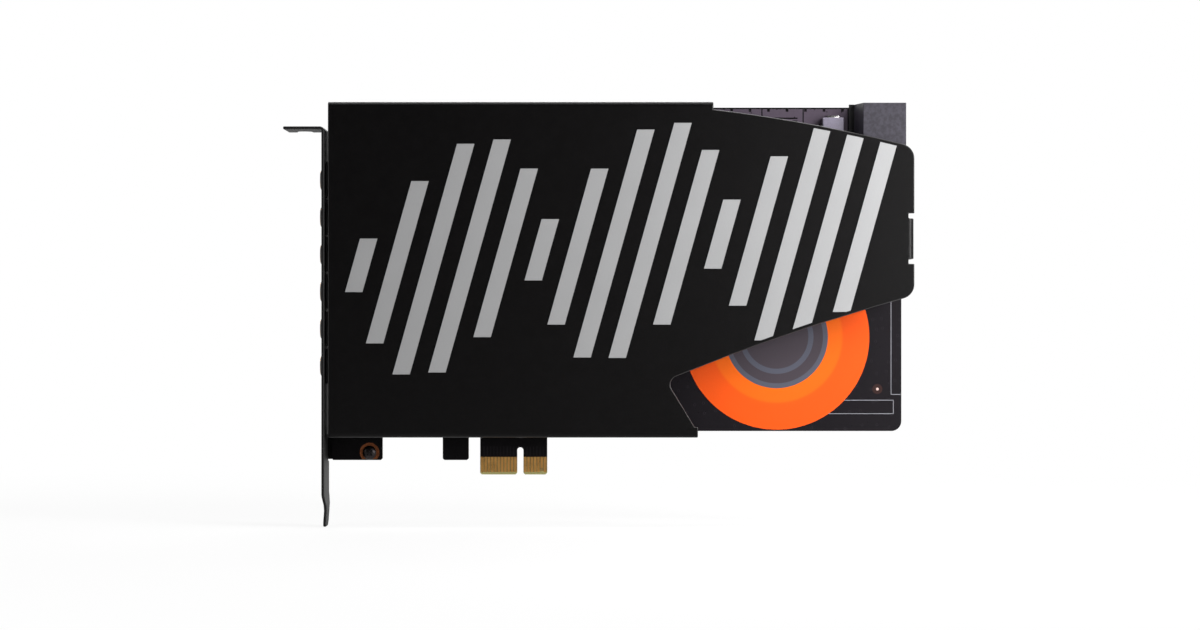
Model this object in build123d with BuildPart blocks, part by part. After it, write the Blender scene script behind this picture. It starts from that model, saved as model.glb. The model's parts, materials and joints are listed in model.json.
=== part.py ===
from build123d import *
import os
from math import sin

# Sound card for a one-lane expansion slot, in millimetres.
# The origin is the key notch at the foot of the slot edge, in the middle of the board's thickness.
# X runs along the card away from the bracket, Z points out of the slot, and the component side faces -Y.

os.makedirs("parts", exist_ok=True)

# Circuit board
board_thickness = 1.57
board_length = 172.6
board_top = 111.15
board_bottom = 13.18
board_setback = 1.1
board_corner_radius = 3.0
heel_length = 15.39
heel_bottom = 4.39
heel_corner = 0.5
stop_left = -23.5
stop_width = 7.86

# Slot edge and its contacts
contact_pitch = 1.0
contact_width = 0.7
contact_thickness = 0.05
contact_top = 5.33
contact_from_key = 1.5
contact_margin = 0.65
short_contact_step = 1.2
left_contacts = 11
right_contacts = 7
key_width = 1.9
key_top = 8.24
tongue_corner = 0.5
bevel_height = 0.7
bevel_depth = 0.28

# Bracket
bracket_face = -59.11
bracket_sheet = 0.86
bracket_width = 18.42
bracket_reach = 14.2
bracket_top = 104.7
bracket_tip = -15.32
bracket_bend = 0.5
bracket_tab_length = 11.43
bracket_tongue_width = 10.19
bracket_tongue_length = 5.0
bracket_tip_corner = 1.4
joggle_start = -5.4
joggle_run = 3.2
joggle_step = 0.45
joggle_flat = 2.0
joggle_return = 0.35
joggle_radius = 4.0
tab_slot_width = 4.42
tab_slot_depth = 5.3
tab_slot_setback = 6.35
ear_below_screw = 2.05
ear_above_screw = 5.6
ear_past_screw = 3.2
ear_relief = 0.5

# Screws
screw_setback = 12.58
screw_level = 6.67
shank_radius = 1.2
thread_clearance = 0.05
hole_clearance = 0.25
head_radius = 2.1
head_height = 1.5
screw_tip = 0.5

# Jacks
jack_count = 6
jack_width = 10.4
jack_gap = 0.8
jack_height = 11.0
jack_length = 14.0
jack_axis_height = 5.6
jack_bore_radius = 1.8
jack_back_wall = 1.3
jack_clearance = 0.25
jack_top_drop = 22.15
ferrule_radius = 3.0
ferrule_clearance = 0.2
ferrule_stand_out = 0.9
leaf_thickness = 0.3
leaf_width = 1.4
leaf_height = 7.0
leaf_clearance = 0.2
leaf_tail = 1.0
leaf_spacing = 4.0
leaf_setback = 2.6

# Cover, one folded sheet
cover_sheet = 0.8
cover_bend = 0.8
cover_headroom = 1.2
cover_left_overlap = 0.11
cover_top_overhang = 1.03
cover_bottom_overhang = 1.58
flange_gap = 0.3
top_flange_short = 57.35
bottom_flange_short = 61.99
nose_overhang = 2.76
nose_top_drop = 12.52
nose_shoulder_drop = 0.75
nose_low_rise = 41.0
nose_corner_radius = 4.4
nose_top_sagitta = 1.0
nose_low_sagitta = 1.25
notch_inset = 71.4
notch_rise = 15.6
notch_radius = 2.6
leg_width = 12.2
leg_level = 58.0
leg_inset = 0.15
leg_relief = 1.45
foot_width = 8.0
foot_reach = 7.6
foot_screw_inset = 3.2
foot_relief = 0.6
hook_inset = 24.0
hook_reach = 3.4
leg_hook_reach = 5.6
hook_clearance = 0.15
hook_bend = 0.3

# Printed colours
label_inset = 37.85
label_rise = 28.55
label_radius = 28.15
label_thickness = 0.1
print_thickness = 0.1
print_bars = 15
print_pitch = 10.8
print_bar_width = 5.2
print_lean = 0.28
print_shortest = 16.0
print_growth = 56.0
print_swing = 0.62
print_start = 10.0
print_rise = 50.0
print_climb = 14.0
print_inset = 1.0

# Power socket
socket_columns = 3
socket_rows = 2
socket_pitch = 4.2
socket_cell = 3.5
socket_cell_key = 0.8
socket_cell_depth = 8.6
socket_wall = 0.95
socket_row_height = 2.6
socket_height = 9.7
socket_length = 12.85
socket_overlap = 0.6
socket_rear_slope = 2.1
socket_foot = 1.6
socket_foot_height = 0.8
socket_top_overhang = 0.9
socket_pin = 1.07
socket_pin_clearance = 0.06
socket_pin_setback = 3.2
socket_pin_row_step = 2.4
socket_pin_inset = 0.6
pin_tail = 1.2

# Front panel header
header_columns = 5
header_rows = 2
header_pitch = 2.54
header_pin = 0.64
header_pin_clearance = 0.04
header_block = 2.5
header_edge_gap = 5.4
header_pin_end_gap = 0.2
header_bend_gap = 1.3
header_socket_gap = 4.2

# Parts on the board
supply_count = 3
part_gap = 1.5
relay_length = 10.0
relay_width = 7.4
relay_height = 5.4
film_length = 7.2
film_width = 3.0
film_height = 6.5
can_radius = 3.15
can_height = 9.5
amplifier_length = 4.9
amplifier_width = 3.9
amplifier_height = 1.6
bulk_radius = 4.0
bulk_height = 10.0
bulk_spacing = 11.0
bulk_inset = 31.0
bulk_drop = 25.0
choke_length = 6.45
choke_width = 6.1
choke_height = 3.2
choke_inset = 20.85
choke_drop = 6.2
choke_spacing = 7.6
regulator_length = 6.6
regulator_width = 6.1
regulator_height = 2.3
regulator_spacing = 13.0
regulator_drop = 37.0
regulator_inset = 24.0
chip_edge = 0.25
converter_side = 10.0
converter_height = 1.2
sampler_length = 4.4
sampler_width = 9.7
sampler_height = 1.1
headphone_side = 5.0
headphone_height = 1.0
controller_side = 14.0
controller_height = 1.4
bridge_side = 9.0
bridge_height = 0.9
memory_side = 5.2
memory_height = 1.8
crystal_length = 5.0
crystal_width = 7.0
crystal_height = 1.3
chip_length = 1.6
chip_width = 3.2
chip_height = 1.2

# Places that follow from the sizes above
bracket_inner = bracket_face + bracket_sheet
board_left = bracket_inner + board_setback
board_right = board_left + board_length
tongue_left = -(contact_from_key + (left_contacts - 1) * contact_pitch + contact_margin)
tongue_right = contact_from_key + (right_contacts - 1) * contact_pitch + contact_margin
screw_x = bracket_inner + screw_setback
jack_pitch = jack_width + jack_gap
jack_front = bracket_inner + jack_clearance
jack_rear = jack_front + jack_length
jack_top_level = board_top - jack_top_drop
jack_levels = [jack_top_level - jack_pitch * place for place in range(jack_count)]
tallest_part = max(jack_height, socket_height, bulk_height, can_height)
cover_inside = tallest_part + cover_headroom
cover_outside = cover_inside + cover_sheet
bend_outer = cover_bend + cover_sheet
cover_left = board_left - cover_left_overlap
cover_top = board_top + cover_top_overhang
cover_bottom = board_bottom - cover_bottom_overhang
top_flange_end = board_right - top_flange_short
bottom_flange_end = board_right - bottom_flange_short
nose_right = board_right + nose_overhang
leg_outer = nose_right - leg_inset
leg_top = board_bottom + leg_level + leg_width / 2
foot_x = (cover_left + top_flange_end) / 2
hook_xs = (cover_left + hook_inset, bottom_flange_end - hook_inset)
label_x = board_right - label_inset
label_z = board_bottom + label_rise


def above_board(height=0.0):
    """Plane parallel to the board, a height above its component side."""
    return Plane.XZ.offset(board_thickness / 2 + height)


def behind_board(depth=0.0):
    """Plane parallel to the board, a depth behind its solder side."""
    return Plane.XZ.offset(-board_thickness / 2 - depth)


def along_card(x):
    """Section plane at one place along the card, with axes of height above the board and Z."""
    return Plane(origin=(x, -board_thickness / 2, 0), x_dir=(0, -1, 0), z_dir=(-1, 0, 0))


def across_card(z):
    """Section plane at one level of Z, with axes of X and height above the board."""
    return Plane(origin=(0, -board_thickness / 2, z), x_dir=(1, 0, 0), z_dir=(0, 0, -1))


def rectangle_between(left, bottom, right, top, mode=Mode.ADD):
    """Rectangle given by its edges, in the sketch that is open."""
    with Locations(((left + right) / 2, (bottom + top) / 2)):
        Rectangle(right - left, top - bottom, mode=mode)


def save(part, name):
    """Name a finished piece and write it."""
    part.label = name
    export_step(part, f"parts/{name}.step")


# Screws: the cover's is driven from behind the board, the bracket's from the component side
cover_screw_place = (foot_x, cover_top - foot_reach + foot_screw_inset)
bracket_screw_place = (screw_x, screw_level)
hook_height = -board_thickness - hook_clearance - cover_sheet

# Spring leaves of a jack: place along the jack, and the side of the housing it lies on
leaf_sides = [1, -1, 1]
leaf_places = [
    (jack_front + leaf_setback + leaf_width / 2 + leaf_spacing * step, side)
    for step, side in enumerate(leaf_sides)
]
leaf_offset = (jack_width + leaf_thickness) / 2
leaf_points = [
    (x, level + side * leaf_offset) for level in jack_levels for x, side in leaf_places
]

# Power socket: its frame, and the drop of each row of pins
socket_right = board_right + socket_overlap
socket_left = socket_right - socket_length
socket_top = board_top + socket_top_overhang
socket_width = socket_columns * socket_pitch + 2 * (socket_wall + (socket_cell - socket_pitch) / 2)
socket_cell_end = socket_right - socket_cell_depth
socket_levels = [
    socket_top - socket_width / 2 + socket_pitch * (column - (socket_columns - 1) / 2)
    for column in range(socket_columns)
]
socket_heights = [socket_row_height + socket_pitch * row for row in range(socket_rows)]
socket_first_drop = socket_cell_end - socket_pin / 2 - socket_pin_inset
socket_drops = [socket_first_drop - socket_pin_row_step * row for row in range(socket_rows)]
socket_pin_front = socket_right - socket_pin_setback

# Front panel header: its frame, and the drop of each row of pins
header_right = board_right - header_edge_gap
header_left = header_right - header_block
header_length = header_columns * header_pitch
header_height = header_rows * header_pitch
header_top = socket_top - socket_width - header_socket_gap
header_levels = [header_top - header_pitch * (column + 0.5) for column in range(header_columns)]
header_heights = [header_pitch * (row + 0.5) for row in range(header_rows)]
header_drops = [header_left - header_bend_gap - header_pitch * row for row in range(header_rows)]
header_pin_end = board_right - header_pin_end_gap
header_key = (header_rows - 1, header_levels[-2])
header_pins = [(row, level) for row in range(header_rows) for level in header_levels]
header_pins.remove(header_key)


# Circuit board: body, heel under the bracket, hook and slot edge in one outline
with BuildPart() as circuit_board:
    with BuildSketch(behind_board()) as board_outline:
        rectangle_between(board_left, board_bottom, board_right, board_top)
        rectangle_between(board_left, heel_bottom, board_left + heel_length, board_top)
        rectangle_between(stop_left, heel_bottom, stop_left + stop_width, board_top)
        rectangle_between(tongue_left, 0, tongue_right, board_top)
        with Locations((0, key_top - key_width / 2)):
            Circle(key_width / 2, mode=Mode.SUBTRACT)
        rectangle_between(-key_width / 2, -key_width, key_width / 2, key_top - key_width / 2, Mode.SUBTRACT)
        chamfer(board_outline.vertices().group_by(Axis.Y)[0], tongue_corner)
        heel_corners = board_outline.vertices().filter_by_position(
            Axis.Y, heel_bottom - heel_corner / 2, heel_bottom + heel_corner / 2
        )
        chamfer(heel_corners, heel_corner)
        low_corner = board_outline.vertices().sort_by_distance((board_right, board_bottom))[0]
        fillet(low_corner, board_corner_radius)
        with Locations(cover_screw_place, bracket_screw_place):
            Circle(shank_radius + hole_clearance, mode=Mode.SUBTRACT)
        with Locations(*leaf_points):
            Rectangle(leaf_width + leaf_clearance, leaf_thickness + leaf_clearance, mode=Mode.SUBTRACT)
        with Locations(*[(x, z) for x in socket_drops for z in socket_levels]):
            Rectangle(socket_pin + hole_clearance, socket_pin + hole_clearance, mode=Mode.SUBTRACT)
        with Locations(*[(header_drops[row], z) for row, z in header_pins]):
            Rectangle(header_pin + hole_clearance, header_pin + hole_clearance, mode=Mode.SUBTRACT)
    extrude(amount=board_thickness)
    with BuildSketch(Plane.YZ.offset(tongue_left)) as bevels:
        with BuildLine():
            Polyline(
                (board_thickness / 2, 0),
                (board_thickness / 2, bevel_height),
                (board_thickness / 2 - bevel_depth, 0),
                close=True,
            )
        make_face()
        mirror(about=Plane.YZ)
    extrude(amount=tongue_right - tongue_left, mode=Mode.SUBTRACT)
save(circuit_board.part, "circuit_board")


# Slot contacts: a row on each side, with the one that is made last left short
left_bank = [-contact_from_key - contact_pitch * place for place in reversed(range(left_contacts))]
right_bank = [contact_from_key + contact_pitch * place for place in range(right_contacts)]
contact_places = left_bank + right_bank
short_front = contact_places[-2]
short_back = contact_places[0]
with BuildPart() as edge_contacts:
    with BuildSketch(above_board()):
        for x in contact_places:
            low = bevel_height + (short_contact_step if x == short_front else 0)
            rectangle_between(x - contact_width / 2, low, x + contact_width / 2, contact_top)
    extrude(amount=contact_thickness)
    with BuildSketch(behind_board()):
        for x in contact_places:
            low = bevel_height + (short_contact_step if x == short_back else 0)
            rectangle_between(x - contact_width / 2, low, x + contact_width / 2, contact_top)
    extrude(amount=-contact_thickness)
save(edge_contacts.part, "edge_contacts")


# Bracket: folded strip with a screw tab slotted from behind, a joggled tongue, jack holes and a screwed ear
bracket_bend_outer = bracket_bend + bracket_sheet
bracket_front_height = bracket_reach
bracket_back_height = bracket_reach - bracket_width
bracket_middle_height = (bracket_front_height + bracket_back_height) / 2
tongue_shoulder = bracket_tip + bracket_tongue_length
shoulder_step = (bracket_width - bracket_tongue_width) / 2
ear_front_height = -board_thickness
ear_back_height = ear_front_height - bracket_sheet
ear_tip = screw_x + ear_past_screw
ear_low = screw_level - ear_below_screw
ear_high = screw_level + ear_above_screw
with BuildPart() as bracket:
    with BuildSketch(above_board(bracket_front_height)):
        with BuildLine():
            FilletPolyline(
                (bracket_face - bracket_tab_length, bracket_top),
                (bracket_inner, bracket_top),
                (bracket_inner, joggle_start),
                (bracket_inner + joggle_step, joggle_start - joggle_run),
                (bracket_inner + joggle_step, joggle_start - joggle_run - joggle_flat),
                (bracket_inner + joggle_step - joggle_return, bracket_tip),
                radius=[bracket_bend_outer, joggle_radius, joggle_radius, joggle_radius],
            )
            offset(amount=bracket_sheet, side=Side.RIGHT)
        make_face()
    extrude(amount=-bracket_width)
    with BuildSketch(along_card(bracket_inner + bracket_tab_length)) as bracket_outline:
        with BuildLine():
            Polyline(
                (bracket_front_height, bracket_top),
                (bracket_front_height, tongue_shoulder + shoulder_step),
                (bracket_middle_height + bracket_tongue_width / 2, tongue_shoulder),
                (bracket_middle_height + bracket_tongue_width / 2, bracket_tip),
                (bracket_middle_height - bracket_tongue_width / 2, bracket_tip),
                (bracket_middle_height - bracket_tongue_width / 2, tongue_shoulder),
                (bracket_back_height, tongue_shoulder + shoulder_step),
                (bracket_back_height, bracket_top),
                close=True,
            )
        make_face()
        chamfer(bracket_outline.vertices().group_by(Axis.Y)[0], bracket_tip_corner)
    extrude(amount=3 * bracket_tab_length, mode=Mode.INTERSECT)
    with BuildSketch(along_card(bracket_inner + bracket_sheet)):
        with Locations(*[(jack_axis_height, level) for level in jack_levels]):
            Circle(ferrule_radius + ferrule_clearance)
    extrude(amount=3 * bracket_sheet, mode=Mode.SUBTRACT)
    with BuildSketch(Plane.XY.offset(bracket_top)):
        with Locations((bracket_face - tab_slot_setback, -board_thickness / 2 - bracket_back_height)):
            SlotOverall(2 * tab_slot_depth, tab_slot_width, rotation=90)
    extrude(amount=-2 * bracket_sheet, mode=Mode.SUBTRACT)
    with BuildSketch(along_card(bracket_inner + bracket_sheet)):
        rectangle_between(
            bracket_back_height - bracket_sheet,
            ear_low - ear_relief,
            ear_front_height + bracket_bend,
            ear_high + ear_relief,
        )
    extrude(amount=3 * bracket_sheet, mode=Mode.SUBTRACT)
    with BuildSketch(across_card(ear_high)):
        with BuildLine():
            FilletPolyline(
                (bracket_face, ear_front_height + bracket_bend_outer),
                (bracket_face, ear_back_height),
                (ear_tip, ear_back_height),
                radius=bracket_bend_outer,
            )
            offset(amount=bracket_sheet, side=Side.LEFT)
        make_face()
    extrude(amount=ear_high - ear_low)
    with BuildSketch(behind_board()):
        with Locations(bracket_screw_place):
            Circle(shank_radius + thread_clearance)
    extrude(amount=-bracket_sheet, mode=Mode.SUBTRACT)
save(bracket.part, "bracket")


# Bracket screw: head on the component side, threaded into the ear
with BuildPart() as bracket_screw:
    with BuildSketch(above_board()):
        with Locations(bracket_screw_place):
            Circle(head_radius)
    extrude(amount=head_height)
    with BuildSketch(above_board()):
        with Locations(bracket_screw_place):
            Circle(shank_radius)
    extrude(amount=-(board_thickness + bracket_sheet + screw_tip))
save(bracket_screw.part, "bracket_screw")


# Jacks: moulded housing, plated ferrule and three spring leaves each
def jack_housing(level):
    with BuildPart() as housing:
        with BuildSketch(above_board()):
            rectangle_between(jack_front, level - jack_width / 2, jack_rear, level + jack_width / 2)
        extrude(amount=jack_height)
        with Locations(along_card(jack_front) * Pos(jack_axis_height, level, 0)):
            Hole(jack_bore_radius, depth=jack_length - jack_back_wall)
    return housing.part


def jack_leaves(level):
    with BuildPart() as leaves:
        with BuildSketch(behind_board(leaf_tail)):
            for x, side in leaf_places:
                with Locations((x, level + side * leaf_offset)):
                    Rectangle(leaf_width, leaf_thickness)
        extrude(amount=leaf_tail + board_thickness + leaf_height)
    return leaves.part


jack_names = ["headphone", "front_speaker", "side_speaker", "rear_speaker", "centre_bass", "microphone"]
for jack_name, jack_level in zip(jack_names, jack_levels):
    save(jack_housing(jack_level), f"{jack_name}_jack_housing")
    save(jack_leaves(jack_level), f"{jack_name}_jack_leaves")


# Ferrules: a plated ring in front of each jack, through the bracket
with BuildPart() as jack_ferrules:
    with BuildSketch(along_card(jack_front)):
        with Locations(*[(jack_axis_height, level) for level in jack_levels]):
            Circle(ferrule_radius)
            Circle(jack_bore_radius, mode=Mode.SUBTRACT)
    extrude(amount=jack_front - bracket_face + ferrule_stand_out)
save(jack_ferrules.part, "jack_ferrules")


# Cover: face with a nose, two flanges, a screwed foot, two hooks and a hooked leg, folded from one sheet
cover_top_line = cover_top - bend_outer
cover_bottom_line = cover_bottom + bend_outer
nose_top = board_top - nose_top_drop
nose_low = board_bottom + nose_low_rise
notch = (board_right - notch_inset, board_bottom + notch_rise)
shoulder = (top_flange_end, cover_top_line - nose_shoulder_drop)
leg_line = leg_outer - bend_outer
with BuildPart() as cover:
    with BuildSketch(above_board(cover_inside)) as cover_face:
        with BuildLine():
            Polyline(
                notch,
                (bottom_flange_end, cover_bottom_line),
                (cover_left, cover_bottom_line),
                (cover_left, cover_top_line),
                (top_flange_end, cover_top_line),
                shoulder,
            )
            SagittaArc(shoulder, (nose_right, nose_top), nose_top_sagitta)
            Line((nose_right, nose_top), (nose_right, nose_low))
            SagittaArc(notch, (nose_right, nose_low), nose_low_sagitta)
        make_face()
        for corner in [(nose_right, nose_top), (nose_right, nose_low)]:
            fillet(cover_face.vertices().sort_by_distance(corner)[0], nose_corner_radius)
        fillet(cover_face.vertices().sort_by_distance(notch)[0], notch_radius)
        rectangle_between(
            leg_line,
            leg_top - leg_width - leg_relief,
            nose_right + leg_relief,
            leg_top + leg_relief,
            Mode.SUBTRACT,
        )
    extrude(amount=cover_sheet)
    with BuildSketch(along_card(top_flange_end)):
        with BuildLine():
            FilletPolyline(
                (cover_outside, cover_top - 2 * bend_outer),
                (cover_outside, cover_top),
                (flange_gap, cover_top),
                radius=bend_outer,
            )
            offset(amount=cover_sheet, side=Side.LEFT)
        make_face()
    extrude(amount=top_flange_end - cover_left)
    with BuildSketch(along_card(bottom_flange_end)):
        with BuildLine():
            FilletPolyline(
                (cover_outside, cover_bottom + 2 * bend_outer),
                (cover_outside, cover_bottom),
                (flange_gap, cover_bottom),
                radius=bend_outer,
            )
            offset(amount=cover_sheet, side=Side.RIGHT)
        make_face()
    extrude(amount=bottom_flange_end - cover_left)
    with BuildSketch(along_card(foot_x + foot_width / 2 + foot_relief)):
        rectangle_between(0, cover_top - cover_sheet, bend_outer + foot_relief, cover_top)
    extrude(amount=foot_width + 2 * foot_relief, mode=Mode.SUBTRACT)
    with BuildSketch(along_card(foot_x + foot_width / 2)):
        with BuildLine():
            FilletPolyline(
                (2 * bend_outer + foot_relief, cover_top),
                (0, cover_top),
                (0, cover_top - foot_reach),
                radius=bend_outer,
            )
            offset(amount=cover_sheet, side=Side.LEFT)
        make_face()
    extrude(amount=foot_width)
    for hook_x in hook_xs:
        with BuildSketch(along_card(hook_x + foot_width / 2)):
            with BuildLine():
                FilletPolyline(
                    (bend_outer, cover_bottom),
                    (hook_height, cover_bottom),
                    (hook_height, cover_bottom + hook_reach),
                    radius=cover_sheet + hook_bend,
                )
                offset(amount=cover_sheet, side=Side.RIGHT)
            make_face()
        extrude(amount=foot_width)
    with BuildSketch(across_card(leg_top)):
        with BuildLine():
            FilletPolyline(
                (leg_line - bend_outer, cover_outside),
                (leg_outer, cover_outside),
                (leg_outer, hook_height),
                (leg_outer - leg_hook_reach, hook_height),
                radius=bend_outer,
            )
            offset(amount=cover_sheet, side=Side.RIGHT)
        make_face()
    extrude(amount=leg_width)
    with BuildSketch(above_board()):
        with Locations(cover_screw_place):
            Circle(shank_radius + thread_clearance)
    extrude(amount=cover_sheet, mode=Mode.SUBTRACT)
save(cover.part, "cover")


# Cover screw: head behind the board, threaded into the foot
with BuildPart() as cover_screw:
    with BuildSketch(behind_board()):
        with Locations(cover_screw_place):
            Circle(head_radius)
    extrude(amount=-head_height)
    with BuildSketch(behind_board()):
        with Locations(cover_screw_place):
            Circle(shank_radius)
    extrude(amount=board_thickness + cover_sheet + screw_tip)
save(cover_screw.part, "cover_screw")


# Print on the cover: leaning bars of a sound level, along a line that climbs to the nose
with BuildPart() as cover_print:
    with BuildSketch(above_board(cover_outside)):
        for bar in range(print_bars):
            bar_x = cover_left + print_start + print_pitch * bar
            bar_z = board_bottom + print_rise + print_climb * bar / print_bars
            half_length = print_shortest / 2 + print_growth / 2 * abs(sin(print_swing * bar))
            half_width = print_bar_width / 2
            shift = print_lean * half_length
            with Locations((bar_x, bar_z)):
                Polygon(
                    (-half_width - shift, -half_length),
                    (half_width - shift, -half_length),
                    (half_width + shift, half_length),
                    (-half_width + shift, half_length),
                    align=None,
                )
        add(offset(cover_face.sketch_local, amount=-print_inset, mode=Mode.PRIVATE), mode=Mode.INTERSECT)
    extrude(amount=print_thickness)
save(cover_print.part, "cover_print")


# Round label on the board
with BuildPart() as round_label:
    with BuildSketch(above_board()):
        with Locations((label_x, label_z)):
            Circle(label_radius)
    extrude(amount=label_thickness)
save(round_label.part, "round_label")


# Power socket: shroud with keyed cells, and square pins that turn down into the board
def bent_pins(pin, clearance, front, rows, drops, levels_by_row, tail):
    """Pins that run back from their front end and turn down to the board, with any clearance around them."""
    half = pin / 2 + clearance
    with BuildPart() as pins:
        for height, drop, levels in zip(rows, drops, levels_by_row):
            for level in levels:
                with BuildSketch(across_card(level + half)):
                    rectangle_between(drop - half, height - half, front, height + half)
                    rectangle_between(drop - half, -tail, drop + half, height + half)
                extrude(amount=2 * half)
    return pins.part


socket_pin_levels = [socket_levels] * socket_rows
with BuildPart() as power_socket_housing:
    with BuildSketch(across_card(socket_top)):
        with BuildLine():
            Polyline(
                (socket_right, 0),
                (socket_right, socket_height),
                (socket_left, socket_height),
                (socket_left - socket_rear_slope, socket_foot_height),
                (socket_left - socket_rear_slope - socket_foot, socket_foot_height),
                (socket_left - socket_rear_slope - socket_foot, 0),
                close=True,
            )
        make_face()
    extrude(amount=socket_width)
    with BuildSketch(along_card(socket_right)) as cells:
        for row, height in enumerate(socket_heights):
            for column, level in enumerate(socket_levels):
                with Locations((height, level)):
                    Rectangle(socket_cell, socket_cell)
                if (row + column) % 2:
                    keyed = cells.vertices().group_by(Axis.X)[-1].sort_by_distance((height, level))[:2]
                    chamfer(keyed, socket_cell_key)
    extrude(amount=socket_cell_depth, mode=Mode.SUBTRACT)
    add(
        bent_pins(
            socket_pin,
            socket_pin_clearance,
            socket_cell_end + socket_pin,
            socket_heights,
            socket_drops,
            socket_pin_levels,
            socket_pin,
        ),
        mode=Mode.SUBTRACT,
    )
save(power_socket_housing.part, "power_socket_housing")
socket_pins = bent_pins(
    socket_pin,
    0,
    socket_pin_front,
    socket_heights,
    socket_drops,
    socket_pin_levels,
    board_thickness + pin_tail,
)
save(socket_pins, "power_socket_pins")


# Front panel header: block with two rows of pins at the board's edge, and one place left empty as the key
header_pin_levels = [[z for pin_row, z in header_pins if pin_row == row] for row in range(header_rows)]
with BuildPart() as front_panel_header:
    with BuildSketch(above_board()):
        rectangle_between(header_left, header_top - header_length, header_right, header_top)
    extrude(amount=header_height)
    with BuildSketch(along_card(header_right)):
        with Locations(*[(header_heights[row], z) for row, z in header_pins]):
            Rectangle(header_pin + 2 * header_pin_clearance, header_pin + 2 * header_pin_clearance)
    extrude(amount=header_block, mode=Mode.SUBTRACT)
save(front_panel_header.part, "front_panel_header")
header_pin_set = bent_pins(
    header_pin,
    0,
    header_pin_end,
    header_heights,
    header_drops,
    header_pin_levels,
    board_thickness + pin_tail,
)
save(header_pin_set, "front_panel_pins")


# Parts on the board
def blocks(places, length, width, height, edge=0.0):
    """Like rectangular parts that stand on the board, with their upper edges broken if an edge is given."""
    with BuildPart() as group:
        with BuildSketch(above_board()):
            with Locations(*places):
                Rectangle(length, width)
        extrude(amount=height)
        if edge:
            chamfer(group.faces().sort_by(Axis.Y)[: len(places)].edges(), edge)
    return group.part


# Output stage: a relay and a can for each pair of jacks, a film capacitor and an amplifier for each jack
relay_x = jack_rear + part_gap + relay_length / 2
film_x = relay_x + relay_length / 2 + part_gap + film_length / 2
can_x = film_x + film_length / 2 + part_gap + can_radius
amplifier_x = can_x + can_radius + 2 * part_gap + amplifier_length / 2
pair_levels = [(high + low) / 2 for high, low in zip(jack_levels[::2], jack_levels[1::2])]
relay_places = [(relay_x, level) for level in pair_levels]
film_places = [(film_x, level) for level in jack_levels]
amplifier_places = [(amplifier_x, level) for level in jack_levels]
save(blocks(relay_places, relay_length, relay_width, relay_height, chip_edge), "relays")
save(blocks(film_places, film_length, film_width, film_height), "film_capacitors")
output_amplifiers = blocks(amplifier_places, amplifier_length, amplifier_width, amplifier_height, chip_edge)
save(output_amplifiers, "output_amplifiers")

# Converters, clocks and controller in the middle of the board
converter_x = tongue_right - converter_side / 2 + part_gap
controller_x = converter_x + converter_side / 2 + 2 * part_gap + crystal_length + controller_side / 2
crystal_x = (converter_x + converter_side / 2 + controller_x - controller_side / 2) / 2
middle_level = (jack_levels[0] + jack_levels[-1]) / 2
headphone_level = jack_levels[0] + jack_pitch
bridge_level = board_bottom + bridge_side + 2 * part_gap
memory_level = middle_level - controller_side / 2 - memory_side - part_gap
crystal_levels = [middle_level - crystal_width, middle_level + crystal_width]
crystal_places = [(crystal_x, level) for level in crystal_levels]


def square_chip(x, level, side, height):
    return blocks([(x, level)], side, side, height, chip_edge)


save(square_chip(converter_x, jack_levels[1], converter_side, converter_height), "playback_converter")
save(square_chip(film_x, headphone_level, headphone_side, headphone_height), "headphone_amplifier")
save(square_chip(controller_x, middle_level, controller_side, controller_height), "audio_controller")
save(square_chip(0, bridge_level, bridge_side, bridge_height), "bus_bridge")
save(square_chip(controller_x, memory_level, memory_side, memory_height), "memory_chip")
sampler_places = [(converter_x, jack_levels[-2])]
recording_converter = blocks(sampler_places, sampler_length, sampler_width, sampler_height, chip_edge)
save(recording_converter, "recording_converter")
clock_crystals = blocks(crystal_places, crystal_length, crystal_width, crystal_height, chip_edge)
save(clock_crystals, "clock_crystals")


# Power supply behind the socket: the chokes in a column, the rest in rows
def supply_row(inset, spacing, drop):
    """Places of one row of supply parts, from the socket towards the bracket."""
    level = board_top - drop
    return [(board_right - inset - spacing * place, level) for place in range(supply_count)]


choke_x = board_right - choke_inset
choke_places = [(choke_x, board_top - choke_drop - choke_spacing * place) for place in range(supply_count)]
bulk_places = supply_row(bulk_inset, bulk_spacing, bulk_drop)
regulator_places = supply_row(regulator_inset, regulator_spacing, regulator_drop)
chip_places = [(x - choke_length / 2 - chip_length, level - chip_length) for x, level in choke_places]
chip_places += [(x - bulk_radius - chip_length, level) for x, level in bulk_places]
chip_places += [(controller_x + controller_side / 2 + 2 * chip_length, level) for level in crystal_levels]
save(blocks(choke_places, choke_length, choke_width, choke_height, chip_edge), "chokes")
voltage_regulators = blocks(regulator_places, regulator_length, regulator_width, regulator_height, chip_edge)
save(voltage_regulators, "voltage_regulators")
save(blocks(chip_places, chip_length, chip_width, chip_height), "ceramic_capacitors")

# Round capacitors: small ones in the output stage, large ones in the supply
with BuildPart() as electrolytic_capacitors:
    with BuildSketch(above_board()):
        with Locations(*[(can_x, level) for level in pair_levels]):
            Circle(can_radius)
    extrude(amount=can_height)
    with BuildSketch(above_board()):
        with Locations(*bulk_places):
            Circle(bulk_radius)
    extrude(amount=bulk_height)
save(electrolytic_capacitors.part, "electrolytic_capacitors")
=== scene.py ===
"""Finishes, small fittings and the stage for a sound card, made around its solids."""

import json
import math
from typing import NamedTuple

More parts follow.
